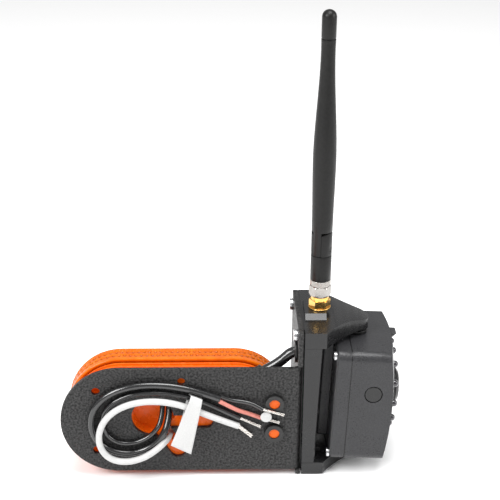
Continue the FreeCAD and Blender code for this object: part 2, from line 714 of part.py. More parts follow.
def rounded_bar(x0, x1, inset):
    """A bar along X with a rounded rectangular section, smaller all round by the inset."""
    half_y = body_width / 2 - inset
    half_z = body_height / 2 - inset
    radius = max(corner - inset, 0.8)
    bar = block((x0, x1), (-half_y, half_y), (-half_z, half_z))
    long_edges = [e for e in bar.Edges if e.BoundBox.XLength > 0.9 * (x1 - x0)]
    return bar.makeFillet(radius, long_edges)


def crowned(shape, front):
    """Cuts the front to a surface that bulges both across and up."""
    half = 60
    sag = crown_up - math.sqrt(crown_up**2 - half**2)
    centre = V(front - crown_across, 0, 0)
    top = centre + V(crown_across - sag, 0, half)
    low = centre + V(crown_across - sag, 0, -half)
    edges = [
        Part.Arc(low, V(front, 0, 0), top).toShape(),
        Part.LineSegment(top, centre + V(0, 0, half)).toShape(),
        Part.LineSegment(centre + V(0, 0, half), centre - V(0, 0, half)).toShape(),
        Part.LineSegment(centre - V(0, 0, half), low).toShape(),
    ]
    solid = Part.Face(Part.Wire(edges)).revolve(centre, UP, 360)
    return shape.common(solid)


def placed(shape):
    """Moves a camera piece from its own axes to its place on the tilted pan axis."""
    moved = shape.copy()
    moved.rotate(V(0, 0, 0), AWAY, tilt)
    moved.translate(pivot)
    return moved


def cover_screw_places():
    y = body_width / 2 - 3.0
    z = body_height / 2 - 2.4
    return [(-y, -z), (-y, z), (y, -z), (y, z)]


def led_places():
    turns = [2 * math.pi * n / led_count for n in range(led_count)]
    return [(led_circle / 2 * math.cos(t), led_circle / 2 * math.sin(t)) for t in turns]


def front_at(y, z):
    """X of the crowned front at one place."""
    return front - y * y / (2 * crown_across) - z * z / (2 * crown_up)


def front_shell():
    shell = crowned(rounded_bar(shell_from, front, 0), front)
    hollow = crowned(rounded_bar(parting - 1, front - shell_wall, shell_wall), front - shell_wall)
    shell = shell.cut(hollow)
    for y, z in cover_screw_places():
        boss = rod_along(V(shell_from, y * 0.96, z * 0.97), AHEAD, 4.6, 9)
        shell = shell.fuse(boss.common(rounded_bar(shell_from, front, 0)))
        shell = shell.cut(rod_along(V(parting - 1, y, z), AHEAD, 2.0, 8))
    shell = shell.cut(rod_along(V(parting, 0, 0), AHEAD, lens_bore, 40))
    for y, z in led_places():
        shell = shell.cut(rod_along(V(parting + 5, y, z), AHEAD, led + 2 * easy, 40))
    shell = shell.cut(rod_along(V(parting + 5, sensor_y, sensor_z), AHEAD, 2.6 + easy, 40))
    for side in (-1, 1):
        floor = side * (body_width / 2 - 1.2)
        well = rod_along(V(side_plug_x, floor, side_plug_z), V(0, side, 0), 7.9, 3)
        shell = shell.cut(well)
        shell = shell.cut(rod_along(V(0, 0, side * 20), V(0, 0, side), pivot_pin + 2 * slip, 8))
    keep("front_shell", placed(shell))


def rear_cover():
    cover = rounded_bar(back, parting, 0)
    rim = [e for e in cover.Edges if abs(e.BoundBox.XMax - back) < 1e-6]
    cover = cover.makeChamfer(0.8, rim)
    half_y = back_box_width / 2
    half_z = body_height / 2 - 2.5
    box = block((back - back_box_depth, back + 1), (-half_y, half_y), (-half_z, half_z))
    box_rim = [e for e in box.Edges if e.BoundBox.XMin < back]
    cover = cover.fuse(box.makeFillet(1.2, box_rim))
    room_y = half_y - back_box_wall
    room_z = half_z - back_box_wall
    room_x = back - back_box_depth + back_box_wall
    cover = cover.cut(block((room_x, back + 3), (-room_y, room_y), (-room_z, room_z)))
    cover = cover.cut(rounded_bar(back + shell_wall, parting + 1, shell_wall))
    for y, z in cover_screw_places():
        boss = rod_along(V(back + 1, y * 0.96, z * 0.97), AHEAD, 4.6, cover_depth - 1)
        cover = cover.fuse(boss)
        cover = cover.cut(rod_along(V(back - 2, y, z), AHEAD, 2.4, 20))
    keep("rear_cover", placed(cover))
    screws = []
    for y, z in cover_screw_places():
        head = rod_along(V(back - 1.1, y, z), AHEAD, 3.8, 1.1)
        cross = [
            block((back - 2, back - 0.5), (y - a, y + a), (z - b, z + b))
            for a, b in ((1.2, 0.25), (0.25, 1.2))
        ]
        shank = rod_along(V(back, y, z), AHEAD, 1.9, cover_depth + 4)
        screws.append(placed(head.cut(cross).fuse(shank)))
    keep("cover_screws", group(screws))
    seal = rounded_bar(parting, shell_from, 0.4)
    seal = seal.cut(rounded_bar(parting - 1, shell_from + 1, shell_wall - 0.3))
    for y, z in cover_screw_places():
        seal = seal.cut(rod_along(V(parting - 1, y, z), AHEAD, 1.9 + 2 * slip, 3))
    keep("cover_seal", placed(seal))


def camera_small_parts():
    plugs = []
    pins = []
    washers = []
    gap_above = 1.5
    gap_below = 0.9
    for side in (-1, 1):
        floor = side * (body_width / 2 - 1.1)
        disc = rod_along(V(side_plug_x, floor, side_plug_z), V(0, side, 0), 7.2, 1.1)
        plugs.append(placed(disc))
        pins.append(placed(rod_along(V(0, 0, side * 21.0), V(0, 0, side), pivot_pin, 8.6)))
        thick = gap_above if side > 0 else gap_below
        washer = rod_along(V(0, 0, side * (body_height / 2 + 0.02)), V(0, 0, side), 9.0, thick - 0.1)
        washers.append(placed(washer.cut(rod_along(V(0, 0, -60), UP, pivot_pin + 2 * slip, 120))))
    keep("side_plugs", group(plugs))
    keep("pivot_pins", group(pins))
    keep("pivot_washers", group(washers))
    x = front_at(sensor_y, sensor_z)
    dome = rod_along(V(x - 3, sensor_y, sensor_z), AHEAD, 2.6, 3.2)
    dome = dome.fuse(Part.makeSphere(1.3, V(x + 0.2, sensor_y, sensor_z)))
    keep("light_sensor", placed(dome))
    top = body_height / 2 - 0.6
    x = front_at(2.5, top) - 0.4
    outline = [V(x, -0.8, top), V(x + 2.9, -0.8, top), V(x, -0.8, top - 3.0)]
    visor = face_from(outline).extrude(V(0, 6.2, 0)).cut(crowned(rounded_bar(parting, front, 0), front))
    keep("visor", placed(visor))


def camera_optics():
    """Lens stack, its board, and the ring of infrared LEDs."""
    board_x = 2.6
    optics_x = 6.5
    barrel = rod_along(V(optics_x, 0, 0), AHEAD, 14.0, front + 1.2 - optics_x)
    barrel = barrel.fuse(rod_along(V(front - 3.4, 0, 0), AHEAD, lens_bore - 2 * easy, 4.4))
    barrel = barrel.cut(rod_along(V(0, 0, 0), AHEAD, 10.0, 40))
    keep("lens_barrel", placed(barrel))
    ring = Part.makeCone((lens_bore - 0.4) / 2, 6.6, 1.6, V(front + 1.2, 0, 0), AHEAD)
    ring = ring.cut(Part.makeCylinder(5.6, 40, V(0, 0, 0), AHEAD))
    keep("lens_ring", placed(ring))
    ball = Part.makeSphere(9.0, V(front - 5.4, 0, 0))
    glass = rod_along(V(front + 1.2, 0, 0), AHEAD, 11.0, 8).common(ball)
    keep("lens_glass", placed(glass))
    rear_glass = rod_along(V(9.2, 0, 0), AHEAD, 9.8, 3.0)
    keep("rear_element", placed(rear_glass))
    slab = block((board_x, board_x + board), (-15, 15), (-17, 17))
    keep("main_board", placed(slab))
    chip = block((board_x + board, board_x + board + 1.6), (-5, 5), (-4.2, 4.2))
    keep("image_sensor", placed(chip))
    places = [(-5.9, -5.9), (-5.9, 5.9), (5.9, -5.9), (5.9, 5.9)]
    legs = [rod_along(V(board_x + board, y, z), AHEAD, 2.0, optics_x - board_x - board) for y, z in places]
    flange_plate = block((optics_x - 1.0, optics_x), (-7.4, 7.4), (-7.4, 7.4))
    flange_plate = flange_plate.cut(rod_along(V(0, 0, 0), AHEAD, 9.0, 40))
    keep("lens_holder", placed(flange_plate.fuse(legs).removeSplitter()))
    ring_x = front - 8.6
    led_board = rod_along(V(ring_x, 0, 0), AHEAD, 37.0, board)
    led_board = led_board.common(rounded_bar(ring_x - 1, ring_x + 3, shell_wall + 0.4))
    led_board = led_board.cut(rod_along(V(0, 0, 0), AHEAD, lens_bore + 1.5, 40))
    keep("led_board", placed(led_board))
    lamps = []
    for y, z in led_places():
        tip = front_at(y, z) + 0.4
        stem = rod_along(V(ring_x + board, y, z), AHEAD, led, tip - ring_x - board)
        lamps.append(placed(stem.fuse(Part.makeSphere(led / 2, V(tip, y, z)))))
    keep("infrared_leds", group(lamps))


os.makedirs("parts", exist_ok=True)
l_bracket()
lamp_housing()
lamp_lens()
lamp_gasket()
lamp_board()
lamp_grommets()
wire_bushes()
camera_lead()
wires()
label_and_tag()
gasket_between()
holder_back()
top_arm()
bottom_arm()
flange_screws()
transmitter()
jack()
coupling_nut()
antenna()
front_shell()
rear_cover()
camera_small_parts()
camera_optics()
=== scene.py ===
import math

import bpy
import numpy as np
from mathutils import Matrix, Vector


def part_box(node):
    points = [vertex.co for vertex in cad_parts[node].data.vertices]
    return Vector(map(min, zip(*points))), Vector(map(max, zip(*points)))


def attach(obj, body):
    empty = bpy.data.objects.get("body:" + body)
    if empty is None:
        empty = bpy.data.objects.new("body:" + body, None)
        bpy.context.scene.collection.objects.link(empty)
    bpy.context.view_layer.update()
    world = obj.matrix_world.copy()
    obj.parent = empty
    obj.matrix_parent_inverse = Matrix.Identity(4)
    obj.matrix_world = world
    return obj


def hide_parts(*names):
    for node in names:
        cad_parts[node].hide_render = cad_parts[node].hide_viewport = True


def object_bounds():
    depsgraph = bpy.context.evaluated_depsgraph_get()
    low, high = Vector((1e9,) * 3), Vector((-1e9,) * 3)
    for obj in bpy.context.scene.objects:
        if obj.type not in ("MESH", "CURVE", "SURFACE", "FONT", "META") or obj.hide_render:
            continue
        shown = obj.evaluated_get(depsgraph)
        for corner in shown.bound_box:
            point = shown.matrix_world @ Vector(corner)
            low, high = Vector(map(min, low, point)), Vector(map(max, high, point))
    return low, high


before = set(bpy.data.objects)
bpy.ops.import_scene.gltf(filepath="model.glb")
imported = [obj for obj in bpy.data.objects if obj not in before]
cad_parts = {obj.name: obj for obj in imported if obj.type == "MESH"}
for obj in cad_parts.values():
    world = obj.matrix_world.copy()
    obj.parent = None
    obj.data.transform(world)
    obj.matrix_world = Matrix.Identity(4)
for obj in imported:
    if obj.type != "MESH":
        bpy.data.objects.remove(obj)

cad_low, cad_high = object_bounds()


# ---- Camera, studio and floor -------------------------------------------------------------
# A long lens looks down at the wall side of the bracket, a little from its round end.
# The floor is a plain pale sheet under the object, and three large soft lights face the object.

bracket_low, bracket_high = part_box("l_bracket")
flange_foot = Vector((bracket_high.x, bracket_low.y, bracket_low.z))

look_turn = math.radians(-2.4)
look_down = math.radians(24.0)
look_roll = math.radians(0.8)
camera_offset = Vector((-0.0466, -0.5615, 0.3571))
ahead = Vector((
    -math.sin(look_turn) * math.cos(look_down),
    math.cos(look_turn) * math.cos(look_down),
    -math.sin(look_down),
))
level = Vector((math.cos(look_turn), math.sin(look_turn), 0))
upward = level.cross(ahead)
right = level * math.cos(look_roll) + upward * math.sin(look_roll)
top = upward * math.cos(look_roll) - level * math.sin(look_roll)
camera_data = bpy.data.cameras.new("studio_camera")
camera_data.sensor_width = 36.0
camera_data.lens = 108.8
camera_data.clip_start = 0.05
camera = bpy.data.objects.new("studio_camera", camera_data)
camera.matrix_world = Matrix((
    (right.x, top.x, -ahead.x, 0),
    (right.y, top.y, -ahead.y, 0),
    (right.z, top.z, -ahead.z, 0),
    (0, 0, 0, 1),
))
camera.location = flange_foot + camera_offset
bpy.context.scene.collection.objects.link(camera)
bpy.context.scene.camera = camera


def soft_light(name, place, aim, size, watts):
    """A square soft light at one place, turned to face a point."""
    data = bpy.data.lights.new(name, "AREA")
    data.size = size
    data.energy = watts
    lamp = bpy.data.objects.new(name, data)
    lamp.location = place
    lamp.rotation_mode = "QUATERNION"
    lamp.rotation_quaternion = (Vector(aim) - Vector(place)).to_track_quat("-Z", "Y")
    bpy.context.scene.collection.objects.link(lamp)


middle = (0.06, 0.02, 0.06)
soft_light("key_light", (-0.55, -0.45, 0.60), middle, 0.45, 8.0)
soft_light("side_light", (0.80, -0.20, 0.40), middle, 0.4, 3.0)
soft_light("top_light", (0.12, -0.10, 0.85), middle, 0.5, 7.0)

world = bpy.data.worlds.new("studio")
world.use_nodes = True
world.node_tree.nodes["Background"].inputs["Color"].default_value = (1.0, 1.0, 1.0, 1)
world.node_tree.nodes["Background"].inputs["Strength"].default_value = 0.55
bpy.context.scene.world = world
bpy.context.scene.view_settings.view_transform = "Standard"


def plain_material(name, colour, roughness):
    """A Principled material with its uniform values set on the shader."""
    material = bpy.data.materials.new(name)
    material.use_nodes = True
    shader = material.node_tree.nodes["Principled BSDF"]
    shader.inputs["Base Color"].default_value = (*colour, 1)
    shader.inputs["Roughness"].default_value = roughness
    return material


floor_gap = 0.0006
floor_half = 3
floor_z = cad_low.z - floor_gap
floor_corners = [(x * floor_half, y * floor_half, floor_z) for x, y in ((-1, -1), (1, -1), (1, 1), (-1, 1))]
floor_mesh = bpy.data.meshes.new("floor")
floor_mesh.from_pydata(floor_corners, [], [(0, 1, 2, 3)])
floor = bpy.data.objects.new("floor", floor_mesh)
floor.data.materials.append(plain_material("floor_paper", (0.97, 0.97, 0.97), 0.9))
bpy.context.scene.collection.objects.link(floor)


# ---- Wires ---------------------------------------------------------------------------------
# The camera's two-core power cable and the lamp's black and white wires, all PVC over stranded
# copper. They leave rubber bushes in the lamp's back and lie in one loose loop on the plate.


def add_group(name, inputs, outputs):
    """An empty shader node group with the named float, colour or vector sockets."""
    group = bpy.data.node_groups.new(name, "ShaderNodeTree")
    for label, kind, value in inputs:
        socket = group.interface.new_socket(label, in_out="INPUT", socket_type="NodeSocket" + kind)
        if value is not None:
            socket.default_value = value
    for label, kind in outputs:
        group.interface.new_socket(label, in_out="OUTPUT", socket_type="NodeSocket" + kind)
    return group, group.nodes.new("NodeGroupInput"), group.nodes.new("NodeGroupOutput")


def moulded_grain():
    """Colour, roughness and height of a moulded or coated surface: fine grain plus broad mottling."""
    group, given, result = add_group(
        "moulded_grain",
        [
            ("Colour", "Color", (0.5, 0.5, 0.5, 1)), ("Lighter", "Color", (0.6, 0.6, 0.6, 1)),
            ("Grain", "Float", 900.0), ("Mottling", "Float", 60.0), ("Sharpness", "Float", 0.5),
            ("Smoothest", "Float", 0.3), ("Roughest", "Float", 0.5),
        ],
        [("Colour", "Color"), ("Roughness", "Float"), ("Height", "Float")],
    )
    place = group.nodes.new("ShaderNodeTexCoord")
    fine = group.nodes.new("ShaderNodeTexNoise")
    fine.inputs["Detail"].default_value = 3.0
    broad = group.nodes.new("ShaderNodeTexNoise")
    broad.inputs["Detail"].default_value = 2.0
    link = group.links.new
    for noise, scale in ((fine, "Grain"), (broad, "Mottling")):
        link(place.outputs["Object"], noise.inputs["Vector"])
        link(given.outputs[scale], noise.inputs["Scale"])
    darkest, lightest = 0.36, 0.64
    spread = group.nodes.new("ShaderNodeMapRange")
    link(fine.outputs["Fac"], spread.inputs["Value"])
    spread.inputs["From Min"].default_value = darkest
    spread.inputs["From Max"].default_value = lightest
    both = group.nodes.new("ShaderNodeMix")
    both.data_type = "FLOAT"
    link(given.outputs["Sharpness"], both.inputs["Factor"])
    link(broad.outputs["Fac"], both.inputs["A"])
    link(spread.outputs["Result"], both.inputs["B"])
    tint = group.nodes.new("ShaderNodeMix")
    tint.data_type = "RGBA"
    link(both.outputs["Result"], tint.inputs["Factor"])
    link(given.outputs["Colour"], tint.inputs["A"])
    link(given.outputs["Lighter"], tint.inputs["B"])
    gloss = group.nodes.new("ShaderNodeMix")
    gloss.data_type = "FLOAT"
    link(both.outputs["Result"], gloss.inputs["Factor"])
    link(given.outputs["Smoothest"], gloss.inputs["A"])
    link(given.outputs["Roughest"], gloss.inputs["B"])
    link(tint.outputs["Result"], result.inputs["Colour"])
    link(gloss.outputs["Result"], result.inputs["Roughness"])
    link(spread.outputs["Result"], result.inputs["Height"])
    return group


grain_group = moulded_grain()


def grained(name, colour, lighter, grain, rough, bump, mottling=60.0, sharpness=0.5, **uniform):
    """A material with grain: colours, grain scale per metre, roughness pair and bump depth in metres."""
    material = plain_material(name, colour, rough[0])
    tree = material.node_tree
    shader = tree.nodes["Principled BSDF"]
    for label, value in uniform.items():
        shader.inputs[label.replace("_", " ")].default_value = value
    grain_node = tree.nodes.new("ShaderNodeGroup")
    grain_node.node_tree = grain_group
    grain_node.inputs["Colour"].default_value = (*colour, 1)
    grain_node.inputs["Lighter"].default_value = (*lighter, 1)
    grain_node.inputs["Grain"].default_value = grain
    grain_node.inputs["Mottling"].default_value = mottling
    grain_node.inputs["Sharpness"].default_value = sharpness
    grain_node.inputs["Smoothest"].default_value = rough[0]
    grain_node.inputs["Roughest"].default_value = rough[1]
    relief = tree.nodes.new("ShaderNodeBump")
    relief.inputs["Distance"].default_value = bump
    relief.inputs["Strength"].default_value = 1.0
    tree.links.new(grain_node.outputs["Colour"], shader.inputs["Base Color"])
    tree.links.new(grain_node.outputs["Roughness"], shader.inputs["Roughness"])
    tree.links.new(grain_node.outputs["Height"], relief.inputs["Height"])
    tree.links.new(relief.outputs["Normal"], shader.inputs["Normal"])
    return material


black_sheath = grained(
    "black_sheath", (0.006, 0.006, 0.0065), (0.012, 0.012, 0.0125), 700.0, (0.13, 0.22), 0.00002,
    Coat_Weight=0.6, Coat_Roughness=0.1,
)
white_sheath = grained(
    "white_sheath", (0.44, 0.44, 0.435), (0.53, 0.53, 0.525), 500.0, (0.3, 0.42), 0.00002,
    Coat_Weight=0.2, Coat_Roughness=0.25,
)
red_sheath = grained(
    "red_sheath", (0.42, 0.13, 0.10), (0.56, 0.20, 0.16), 600.0, (0.3, 0.42), 0.00002,
)


def cord_curve(name, route, diameter, material):
    """A round cord along one smooth curve whose control points are the route."""
    data = bpy.data.curves.new(name, "CURVE")
    data.dimensions = "3D"
    data.bevel_depth = diameter / 2
    data.bevel_resolution = 6
    data.resolution_u = 10
    data.use_fill_caps = True
    spline = data.splines.new("NURBS")
    spline.points.add(len(route) - 1)
    for point, place in zip(spline.points, route):
        point.co = (*place, 1)
    spline.order_u = 3
    spline.use_endpoint_u = True
    piece = bpy.data.objects.new(name, data)
    piece.data.materials.append(material)
    bpy.context.scene.collection.objects.link(piece)
    return piece


power_route = [
    (0.0312, 0.0052, 0.0082), (0.0312, 0.0044, 0.0046), (0.0309, 0.0016, 0.0008), (0.0298, -0.0016, -0.0034),
    (0.0264, -0.0024, -0.0090), (0.0206, -0.0021, -0.0134), (0.0132, -0.0020, -0.0152),
    (0.0052, -0.0020, -0.0134), (-0.0006, -0.0020, -0.0080), (-0.0026, -0.0020, -0.0006),
    (-0.0010, -0.0020, 0.0072), (0.0044, -0.0020, 0.0134), (0.0126, -0.0019, 0.0172),
    (0.0224, -0.0018, 0.0185), (0.0330, -0.0018, 0.0177), (0.0434, -0.0018, 0.0152), (0.0526, -0.0019, 0.0116),
]
black_route = [
    (0.0282, 0.0046, 0.0082), (0.0282, 0.0039, 0.0050), (0.0279, 0.0014, 0.0014), (0.0266, -0.0010, -0.0026),
    (0.0226, -0.0014, -0.0072), (0.0166, -0.0014, -0.0102), (0.0098, -0.0014, -0.0104),
    (0.0044, -0.0014, -0.0068), (0.0022, -0.0014, -0.0006), (0.0036, -0.0014, 0.0058),
    (0.0086, -0.0014, 0.0108), (0.0156, -0.0014, 0.0136), (0.0240, -0.0014, 0.0145),
    (0.0330, -0.0015, 0.0138), (0.0422, -0.0015, 0.0114), (0.0522, -0.0015, 0.0066), (0.0612, -0.0016, 0.0019),
]
white_route = [
    (0.0318, 0.0056, -0.0072), (0.0314, 0.0012, -0.0076), (0.0294, -0.0028, -0.0088),
    (0.0256, -0.0052, -0.0114), (0.0200, -0.0056, -0.0152), (0.0126, -0.0054, -0.0174),
    (0.0056, -0.0053, -0.0158), (0.0016, -0.0053, -0.0104), (0.0010, -0.0053, -0.0034),
    (0.0036, -0.0053, 0.0034), (0.0092, -0.0052, 0.0088), (0.0170, -0.0051, 0.0118),
    (0.0260, -0.0050, 0.0124), (0.0354, -0.0048, 0.0106), (0.0446, -0.0042, 0.0062),
    (0.0526, -0.0026, 0.0018), (0.0607, -0.0019, -0.0018),
]
red_core_route = [
    (0.0524, -0.0026, 0.0108), (0.0568, -0.0022, 0.0080), (0.0609, -0.0018, 0.0056),
    (0.0656, -0.0016, 0.0040), (0.0701, -0.0014, 0.0019),
]
black_core_route = [
    (0.0530, -0.0012, 0.0123), (0.0572, -0.0014, 0.0106), (0.0620, -0.0013, 0.0099),
    (0.0672, -0.0018, 0.0089), (0.0710, -0.0034, 0.0070),
]

wire_table = [
    ("power_lead", power_route, 0.0030, black_sheath, "power_cable"),
    ("black_wire", black_route, 0.0022, black_sheath, "black_lamp_wire"),
    ("white_wire", white_route, 0.0028, white_sheath, "white_lamp_wire"),
    ("red_inner_core", red_core_route, 0.0018, red_sheath, "red_core"),
    ("black_inner_core", black_core_route, 0.0018, black_sheath, "black_core"),
]
wire_pieces = {}
for name, route, diameter, sheath, node in wire_table:
    wire_pieces[name] = cord_curve(name, route, diameter, sheath)
    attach(wire_pieces[name], "bracket")
    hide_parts(node)

tinned_wire = grained(
    "tinned_wire", (0.55, 0.51, 0.47), (0.85, 0.83, 0.80), 2500.0, (0.18, 0.32), 0.00001, Metallic=1.0,
)


def grid_piece(name, points, material, around=False, smooth=True):
    """A mesh from a grid of points (rows, columns, 3). Around joins the last column to the first."""
    rows, columns = points.shape[:2]
    mesh = bpy.data.meshes.new(name)
    index = np.arange(rows * columns).reshape(rows, columns)
    if around:
        index = np.concatenate([index, index[:, :1]], axis=1)
    faces = np.stack([index[:-1, :-1], index[:-1, 1:], index[1:, 1:], index[1:, :-1]], axis=-1).reshape(-1, 4)
    mesh.from_pydata(points.reshape(-1, 3).tolist(), [], faces.tolist())
    mesh.polygons.foreach_set("use_smooth", np.full(len(faces), smooth))
    mesh.materials.append(material)
    piece = bpy.data.objects.new(name, mesh)
    bpy.context.scene.collection.objects.link(piece)
    return piece


def joined(name, pieces):
    """Several mesh objects made one."""
    with bpy.context.temp_override(active_object=pieces[0], selected_editable_objects=pieces):
        bpy.ops.object.join()
    pieces[0].name = name
    pieces[0].data.name = name
    return pieces[0]


def filament_bundle(name, start, end, width, filaments, splay):
    """Twisted bare filaments: each runs on a helix about the line from start to end and splays at the tip."""
    start, end = np.array(start), np.array(end)
    along = (end - start) / np.linalg.norm(end - start)
    side = np.cross(along, (0.0, 1.0, 0.0))
    side /= np.linalg.norm(side)
    out = np.cross(side, along)
    steps = np.linspace(0, 1, 25)
    ring = np.linspace(0, 2 * np.pi, 8, endpoint=False)
    filament_radius = width * 0.19
    twist = 5.0
    made = []
    for n in range(filaments):
        turn = 2 * np.pi * n / max(filaments - 1, 1) + steps * twist
        reach = (0.0 if n == 0 else width / 2 - filament_radius) * (1 + splay * steps**3)
        length = np.linalg.norm(end - start) * (0.93 + 0.07 * math.sin(2.1 * n) ** 2)
        centre = start + np.outer(steps * length, along)
        centre = centre + np.outer(reach * np.cos(turn), side) + np.outer(reach * np.sin(turn), out)
        round_off = np.where((steps == 0) | (steps == 1), 0.02, 1.0)
        circle = np.cos(ring)[:, None] * side + np.sin(ring)[:, None] * out
        points = centre[:, None, :] + filament_radius * round_off[:, None, None] * circle[None]
        made.append(grid_piece(name, points, tinned_wire, around=True))
    return joined(name, made)


# Each bundle starts just inside its wire's end and runs on by the vector given.
filaments_in_bundle = 7
tuck = np.array((-0.0001, 0.0, 0.0001))
strand_table = [
    ("red_core_strands", red_core_route, (0.0086, 0.0004, -0.0030), 0.0011, 0.5),
    ("black_core_strands", black_core_route, (0.0095, 0.0002, -0.0031), 0.0011, 0.3),
    ("black_wire_strands", black_route, (0.0095, 0.0006, -0.0049), 0.0011, 0.4),
    ("white_wire_strands", white_route, (0.0062, 0.0007, -0.0057), 0.0017, 0.2),
]
strand_pieces = {}
for name, route, run, width, splay in strand_table:
    start = np.array(route[-1]) + tuck
    strand_pieces[name] = filament_bundle(name, start, start + run, width, filaments_in_bundle, splay)
    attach(strand_pieces[name], "bracket")
    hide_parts("bare_strands")


# ---- Wire label and tag --------------------------------------------------------------------
# A strip of white tape is folded round the two lamp wires and hangs from them as a flag.
# A round paper tag is stuck on the end of the red core. Both are blank.

tape = grained(
    "white_tape", (0.46, 0.46, 0.455), (0.54, 0.54, 0.535), 1500.0, (0.45, 0.6), 0.000015,
    mottling=150.0,
)


def smooth_line(points, count):
    """A Catmull-Rom curve through rows of points, sampled evenly in its parameter."""
    points = np.array(points, float)
    padded = np.concatenate([2 * points[:1] - points[1:2], points, 2 * points[-1:] - points[-2:-1]])
    t = np.linspace(0, len(points) - 1 - 1e-9, count)
    n = t.astype(int)
    f = (t - n)[:, None]
    a, b, c, d = (padded[n + k] for k in range(4))
    return 0.5 * (2 * b + (c - a) * f + (2 * a - 5 * b + 4 * c - d) * f**2 + (3 * b - a - 3 * c + d) * f**3)


def label_flag():
    """The fold's section is a curve of (share of the flag's length, Y from the plate's wall side).
    The flag's top and bottom edges, measured from the label's low corner, carry it in X and Z."""
    section = smooth_line(
        [
            (1.0, -0.00640), (0.75, -0.00655), (0.5, -0.00665), (0.25, -0.00672), (0.08, -0.00655),
            (0.0, -0.00550), (0.035, -0.00350), (0.055, -0.00170), (0.085, -0.00012), (0.16, -0.00010),
            (0.25, -0.00012), (0.31, -0.00110), (0.37, -0.00370), (0.45, -0.00570), (0.6, -0.00645),
            (0.8, -0.00635), (1.0, -0.00622),
        ],
        110,
    )
    label_low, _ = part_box("wire_label")
    foot = np.array([label_low.x, label_low.z])
    top_left, top_right = foot + (0.0085788, 0.0270951), foot + (0.0133788, 0.0250951)
    low_left, low_right = foot + (-0.0000212, 0.0036951), foot + (0.0085788, -0.0009049)
    across = np.linspace(0, 1, 12)[None, :, None]
    down = section[:, 0][:, None, None]
    upper = top_left + (top_right - top_left) * across
    lower = low_left + (low_right - low_left) * across
    flat = upper + (lower - upper) * down
    ripple = 0.00012
    depth = bracket_low.y + section[:, 1][:, None] + ripple * np.sin(across[..., 0] * 3.0 + down[..., 0] * 4.0)
    return np.stack([flat[..., 0], depth, flat[..., 1]], axis=-1)


flag = grid_piece("label_flag", label_flag(), tape)
thickness = flag.modifiers.new("tape_thickness", "SOLIDIFY")
thickness.thickness = 0.00014
thickness.offset = 0.0
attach(flag, "bracket")
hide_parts("wire_label")

tag_low, tag_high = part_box("wire_tag")
tag_centre = (tag_low + tag_high) / 2


def lathe(name, centre, axis, profile, material):
    """A profile of (distance along the axis, radius) carried round a level axis."""
    axis = np.array(axis, float)
    side = np.cross(axis, (0.0, 0.0, 1.0))
    side /= np.linalg.norm(side)
    out = np.cross(axis, side)
    profile = np.array(profile, float)
    turn = np.linspace(0, 2 * np.pi, 48, endpoint=False)
    circle = np.cos(turn)[:, None] * side + np.sin(turn)[:, None] * out
    points = np.array(centre) + profile[:, :1, None] * axis + profile[:, 1:, None] * circle[None]
    return grid_piece(name, points, material, around=True)


tag_radius = (tag_high.x - tag_low.x) / 2
tag = lathe(
    "round_tag", (tag_centre.x, tag_high.y, tag_centre.z), (0, -1, 0),
    [(0, 1e-5), (0, tag_radius - 0.0001), (0.00025, tag_radius), (0.0005, tag_radius - 0.0001),
     (0.00058, tag_radius - 0.0006), (0.0006, 1e-5)],
    tape,
)
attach(tag, "bracket")
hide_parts("wire_tag")


# ---- Steel L-bracket -----------------------------------------------------------------------
# Two-millimetre steel, cut and bent once, with a black wrinkle powder coat.
# The coat has a fine even orange-peel grain.

wrinkle_coat = grained(
    "wrinkle_coat", (0.004, 0.004, 0.004), (0.050, 0.049, 0.049), 1100.0, (0.34, 0.55), 0.00016,
    mottling=90.0, sharpness=0.9, Specular_IOR_Level=0.22,
)


def finish_node(node, material, edge=0.0, segments=3):
    """Gives a CAD node its material and, where asked, rounded edges from weld, dissolve and bevel."""
    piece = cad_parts[node]
    if not piece.material_slots:
        piece.data.materials.append(material)
    for holder in piece.material_slots:
        holder.material = material
    if edge:
        weld = piece.modifiers.new("weld", "WELD")
        weld.merge_threshold = 0.000005
        flatten = piece.modifiers.new("flatten", "DECIMATE")
        flatten.decimate_type = "DISSOLVE"
        flatten.angle_limit = math.radians(0.5)
        rounding = piece.modifiers.new("edges", "BEVEL")
        rounding.width = edge
        rounding.segments = segments
        rounding.limit_method = "ANGLE"
        rounding.angle_limit = math.radians(35)
        rounding.harden_normals = True
    return piece


finish_node("l_bracket", wrinkle_coat, 0.00035)


# ---- Marker lamp ---------------------------------------------------------------------------
# An oblong amber lamp: a deep tray with three ridges round its side, and a cap with moulded
# optics, both clear dyed plastic. Inside are a white board and six LEDs.

# Painted light: the tray's faint emission is a glow that stands in for light passing through the amber plastic,
# so the tray shows brighter through the plate's openings.
amber_tray_painted_glow = grained(
    "amber_tray_painted_glow", (0.64, 0.078, 0.002), (0.74, 0.12, 0.003), 220.0, (0.2, 0.34), 0.00003,
    mottling=70.0, Emission_Color=(0.9, 0.14, 0.008, 1), Emission_Strength=0.12,
    Transmission_Weight=0.12, IOR=1.49, Specular_IOR_Level=0.22,
)
amber_cap = grained(
    "amber_cap", (0.66, 0.105, 0.001), (0.80, 0.185, 0.002), 260.0, (0.16, 0.28), 0.00003,
    mottling=90.0, Transmission_Weight=0.15, IOR=1.49, Specular_IOR_Level=0.2,
)


def paint_hollow_shade(material, colour):
    """Paints shade into a grained material: mixes a darker second colour in where the mesh's own hollow attribute
    is high.
    """
    tree = material.node_tree
    shader = tree.nodes["Principled BSDF"]
    before = shader.inputs["Base Color"].links[0].from_socket
    mark = tree.nodes.new("ShaderNodeAttribute")
    mark.attribute_name = "hollow"
    blend = tree.nodes.new("ShaderNodeMix")
    blend.data_type = "RGBA"
    blend.inputs["B"].default_value = (*colour, 1)
    tree.links.new(mark.outputs["Fac"], blend.inputs["Factor"])
    tree.links.new(before, blend.inputs["A"])
    tree.links.new(blend.outputs["Result"], shader.inputs["Base Color"])


# Painted shade: the cap's dents and flutes are coloured darker amber where they are deep.
paint_hollow_shade(amber_cap, (0.10, 0.008, 0.0))
finish_node("lamp_housing", amber_tray_painted_glow, 0.00015, 2)

